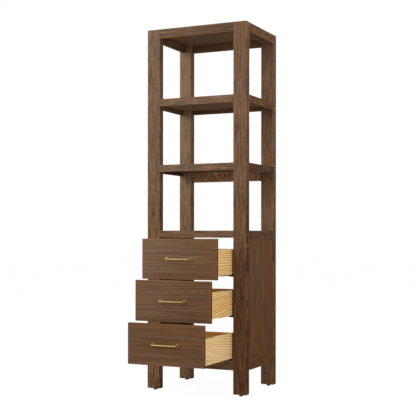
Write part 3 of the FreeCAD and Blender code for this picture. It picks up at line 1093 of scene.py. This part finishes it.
@dataclass
class SlidePair:
    """The two concealed slides of a drawer: steel members, rollers and fixing screws."""

    nodes: Nodes
    level: str
    sheet: float = 0.0015
    screw_drop: float = 0.0085
    lip_drop: float = 0.009
    lip_rise: float = 0.0024
    lip_corner: float = 0.003
    lip_span: tuple[float, float, float] = (0.068, 0.0332, 0.0005)
    channel: float = 0.0334
    roller_width: float = 0.006
    roller_gap: float = 0.0003
    roller_dish: float = 0.0012
    roller_edge: float = 0.0007
    roller_ends: Ends = (0.012, 0.03)

    def dress(self) -> None:
        """Puts the black coating on all members."""
        for kind in ("cabinet", "middle", "drawer"):
            name = f"slide_{kind}_members_{self.level}"
            dress_node(self.nodes, name, BLACK_STEEL.material())

    def build(self, screw: PanScrew) -> None:
        """Models fixing screws and rollers, and the bottom slides' lips behind the rail.

        Args:
            screw: The screw that is copied.
        """
        low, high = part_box(f"slide_cabinet_members_{self.level}")
        places = []
        for side, title in SIDES:
            for number, share in enumerate((0.1, 0.5, 0.9)):
                y = low.y + (high.y - low.y) * share
                place = (side * (high.x - self.sheet), y, high.z - self.screw_drop)
                name = f"slide_screw_{self.level}_{title}_{number}"
                places.append((name, facing((-side, 0, 0), place)))
        set_out(screw.build(), places, BLACK_STEEL, "cabinet")
        if self.level == "bottom":
            places = [(f"slide_lip_{self.level}_{title}", hand) for title, hand in HANDS]
            set_out(self.lip(), places, BLACK_STEEL, "cabinet")
        self.build_rollers()

    def lip(self) -> Piece:
        """Folds the right-hand slide's front fixing lip, which hangs behind the rail.

        Returns:
            The lip.
        """
        low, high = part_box(f"slide_cabinet_members_{self.level}")
        inner, step, outer = (high.x - reach for reach in self.lip_span)
        front, top = low.y + 0.0001, low.z - 0.0001
        bpy.ops.mesh.primitive_cube_add(
            size=1, scale=(outer - inner, self.sheet, self.lip_drop),
            location=((inner + outer) / 2, front + self.sheet / 2, top - self.lip_drop / 2),
        )
        lip = Bench("lip")
        bpy.ops.mesh.bisect(plane_co=(step, front, top), plane_no=(1, 0, 0))
        lip.pick("FACE", lambda f: f.normal.z > 0.9 and f.calc_center_median().x < step - 0.001)
        lip.draw_out(0, 0, self.lip_rise)
        foot = top - self.lip_drop + NEAR

        def at_corner(edge: bmesh.types.BMEdge) -> bool:
            """Finds the lip's two lower corners.

            Args:
                edge: An edge.

            Returns:
                Whether it is one.
            """
            first, last = (v.co for v in edge.verts)
            crosswise = abs(first.y - last.y) > self.sheet * 0.9
            return crosswise and max(first.z, last.z) < foot and abs(first.x - step) > 0.002

        lip.soften(self.lip_corner, 4, at_corner)
        return lip.close()

    def build_rollers(self) -> None:
        """Turns the nylon rollers that the middle members carry."""
        low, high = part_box(f"slide_middle_members_{self.level}")
        _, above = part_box(f"slide_drawer_members_{self.level}")
        floor = low.z + self.sheet + self.roller_gap
        radius = (above.z - self.sheet - self.roller_gap - floor) / 2
        bpy.ops.mesh.primitive_cylinder_add(
            vertices=24, radius=radius, depth=self.roller_width, rotation=(0, QUARTER, 0)
        )
        wheel = Bench("roller")
        for way in (1, -1):
            wheel.pick("FACE", lambda f: f.normal.x * way > 0.9)
            bpy.ops.mesh.inset(thickness=radius * 0.45, depth=0)
            wheel.draw_out(-way * self.roller_dish, 0, 0)

        def on_tread(edge: bmesh.types.BMEdge) -> bool:
            """Finds the two circles round the tread.

            Args:
                edge: An edge.

            Returns:
                Whether it is on one.
            """
            first, last = (v.co for v in edge.verts)
            outer = math.hypot(first.y, first.z) > radius * 0.95
            return outer and abs(first.x - last.x) < NEAR and edge.calc_length() < radius

        wheel.soften(self.roller_edge, 2, on_tread)
        end, next_to_end = self.roller_ends
        rows = (low.y + end, low.y + next_to_end, high.y - next_to_end, high.y - end)
        places = []
        for side, title in SIDES:
            for number, y in enumerate(rows):
                place = Matrix.Translation((side * (high.x - self.channel / 2), y, floor + radius))
                places.append((f"roller_{self.level}_{title}_{number}", place))
        set_out(wheel.close(), places, NYLON, f"slide_middles_{self.level}")


@dataclass
class LevellingGlides:
    """Four moulded feet with a hexagon for a spanner, over their studs and bushes."""

    nodes: Nodes
    sole: float = 0.011
    sole_edge: float = 0.0008
    height: float = 0.004
    cone: float = 0.0012
    hexagon: float = 0.014
    hexagon_height: float = 0.0036
    stud: float = 0.004

    def build(self) -> None:
        """Models the foot once and sets it under each post."""
        low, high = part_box("levelling_glides")
        x, y = high.x - self.sole, high.y - self.sole
        places = [
            (f"glide_{row}_{title}", Matrix.Translation((side * x, way * y, 0)))
            for row, way in (("front", -1), ("rear", 1))
            for side, title in SIDES
        ]
        set_out(self.foot(high.z), places, PLASTIC, "cabinet", ("levelling_glides",))
        dress_node(self.nodes, "glide_inserts", ZINC.material())

    def foot(self, stud_top: float) -> Piece:
        """Builds one foot upwards from its sole.

        Args:
            stud_top: The top of the stud.

        Returns:
            The foot at the origin.
        """
        bpy.ops.mesh.primitive_cylinder_add(
            vertices=36, radius=self.sole, depth=self.height, location=(0, 0, self.height / 2)
        )
        foot = Bench("glide")
        foot.pick("FACE", lambda f: f.normal.z > 0.9)
        bpy.ops.mesh.inset(thickness=self.sole - self.hexagon / 2, depth=self.cone)
        foot.draw_out(0, 0, self.hexagon_height)
        bpy.ops.mesh.inset(thickness=self.hexagon / 2 - self.stud, depth=0)
        shoulder = self.height + self.cone + self.hexagon_height
        foot.draw_out(0, 0, stud_top - shoulder)

        def on_sole(edge: bmesh.types.BMEdge) -> bool:
            """Finds the two circles round the sole.

            Args:
                edge: An edge.

            Returns:
                Whether it is on one.
            """
            first, last = (v.co for v in edge.verts)
            level = abs(first.z - last.z) < NEAR and first.z < self.height + NEAR
            return level and all(math.hypot(c.x, c.y) > self.sole * 0.97 for c in (first, last))

        foot.soften(self.sole_edge, 3, on_sole)
        return foot.close()


@dataclass(frozen=True)
class Lamp:
    """A square soft light: its stand, what it points at, its width and its watts."""

    name: str
    place: Point
    aim: Point
    size: float
    power: float
    colour: Colour

    def build(self) -> None:
        """Adds the light to the scene."""
        light = bpy.data.lights.new(self.name, "AREA")
        light.size = self.size
        light.energy = self.power
        light.color = self.colour
        lamp = bpy.data.objects.new(self.name, light)
        lamp.location = self.place
        beam = Vector(self.aim) - Vector(self.place)
        lamp.rotation_euler = beam.to_track_quat("-Z", "Y").to_euler()
        bpy.context.scene.collection.objects.link(lamp)


LAMPS = (
    Lamp("key", (-2.2, -4.0, 2.5), (0, 0, 1.3), 2.2, 138, srgb(247, 252, 255)),
    Lamp("side", (3.4, -0.4, 3.3), (0, 0, 1.2), 2.0, 38, srgb(255, 249, 240)),
    Lamp("low", (3.4, -2.4, 0.9), (0, 0, 0.6), 1.5, 33, srgb(255, 249, 240)),
    Lamp("top", (0.2, -1.2, 4.2), (0, 0, 1.0), 2.4, 34, srgb(250, 250, 255)),
)


@dataclass
class Studio:
    """Pale floor, soft lights and the camera at the photograph's angle."""

    focal: float = 81.64
    place: Point = (2.25526, -4.86126, 0.86815)
    heading: float = 0.4393
    rise: float = 0.06365
    roll: float = -0.00095
    fill: Colour = (1, 0.975, 0.94)
    fill_strength: float = 0.42
    ground: Colour = (0.62, 0.6, 0.58)
    ground_glow: float = 1.03
    ground_share: float = 0.94

    def build(self) -> None:
        """Sets the whole studio."""
        self.world()
        self.floor()
        for lamp in LAMPS:
            lamp.build()
        self.camera()

    def world(self) -> None:
        """White to the camera, a plain pale fill to everything else."""
        made = bpy.data.worlds.new("studio")
        bpy.context.scene.world = made
        made.use_nodes = True
        made.node_tree.nodes.clear()
        graph = Graph(made.node_tree)
        fill = graph.node("ShaderNodeBackground", self.fill, self.fill_strength)
        white = graph.node("ShaderNodeBackground", WHITE, 1)
        sky = graph.blend(graph.seen(), fill.outputs[0], white.outputs[0])
        graph.node("ShaderNodeOutputWorld", sky)

    def floor(self) -> None:
        """A wide pale floor that keeps a soft shadow."""
        bpy.ops.mesh.primitive_plane_add(size=60, location=(0, 10, 0))
        ground = Bench("floor").piece
        Bench.hold()
        made, graph, shader = new_material("pale_floor")
        seen = graph.seen()
        graph.supply(shader, {"Roughness": 0.9, "Base Color": graph.mix(seen, self.ground, WHITE)})
        white = graph.node("ShaderNodeEmission", WHITE, self.ground_glow)
        share = graph.math("MULTIPLY", seen, self.ground_share)
        both = graph.blend(share, shader.outputs[0], white.outputs[0])
        graph.feed(graph.tree.nodes["Material Output"].inputs["Surface"], both)
        ground.data.materials.append(made)

    def camera(self) -> None:
        """Sets the camera at the photograph's viewpoint."""
        lens = bpy.data.cameras.new("camera")
        lens.sensor_width = 36
        lens.lens = self.focal
        lens.shift_y = self.rise
        lens.clip_end = 200
        camera = bpy.data.objects.new("camera", lens)
        camera.location = self.place
        camera.rotation_euler = (math.pi / 2, self.roll, self.heading)
        bpy.context.scene.collection.objects.link(camera)
        bpy.context.scene.camera = camera


def main() -> None:
    """Builds and dresses the cabinet piece by piece."""
    logging.basicConfig(level=logging.INFO, format="%(name)s: %(message)s")
    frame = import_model()
    Bench.hold()
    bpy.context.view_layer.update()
    nodes = frame["nodes"]
    Carcass(nodes).dress()
    screw = PanScrew()
    for number, level in enumerate(DRAWERS):
        drawer = Drawer(nodes, level, 40 + 7 * number)
        drawer.dress()
        drawer.build(screw)
        slides = SlidePair(nodes, level)
        slides.dress()
        slides.build(screw)
    LevellingGlides(nodes).build()
    Studio().build()
    bpy.context.scene.view_settings.view_transform = "Standard"


if __name__ == "__main__":
    main()
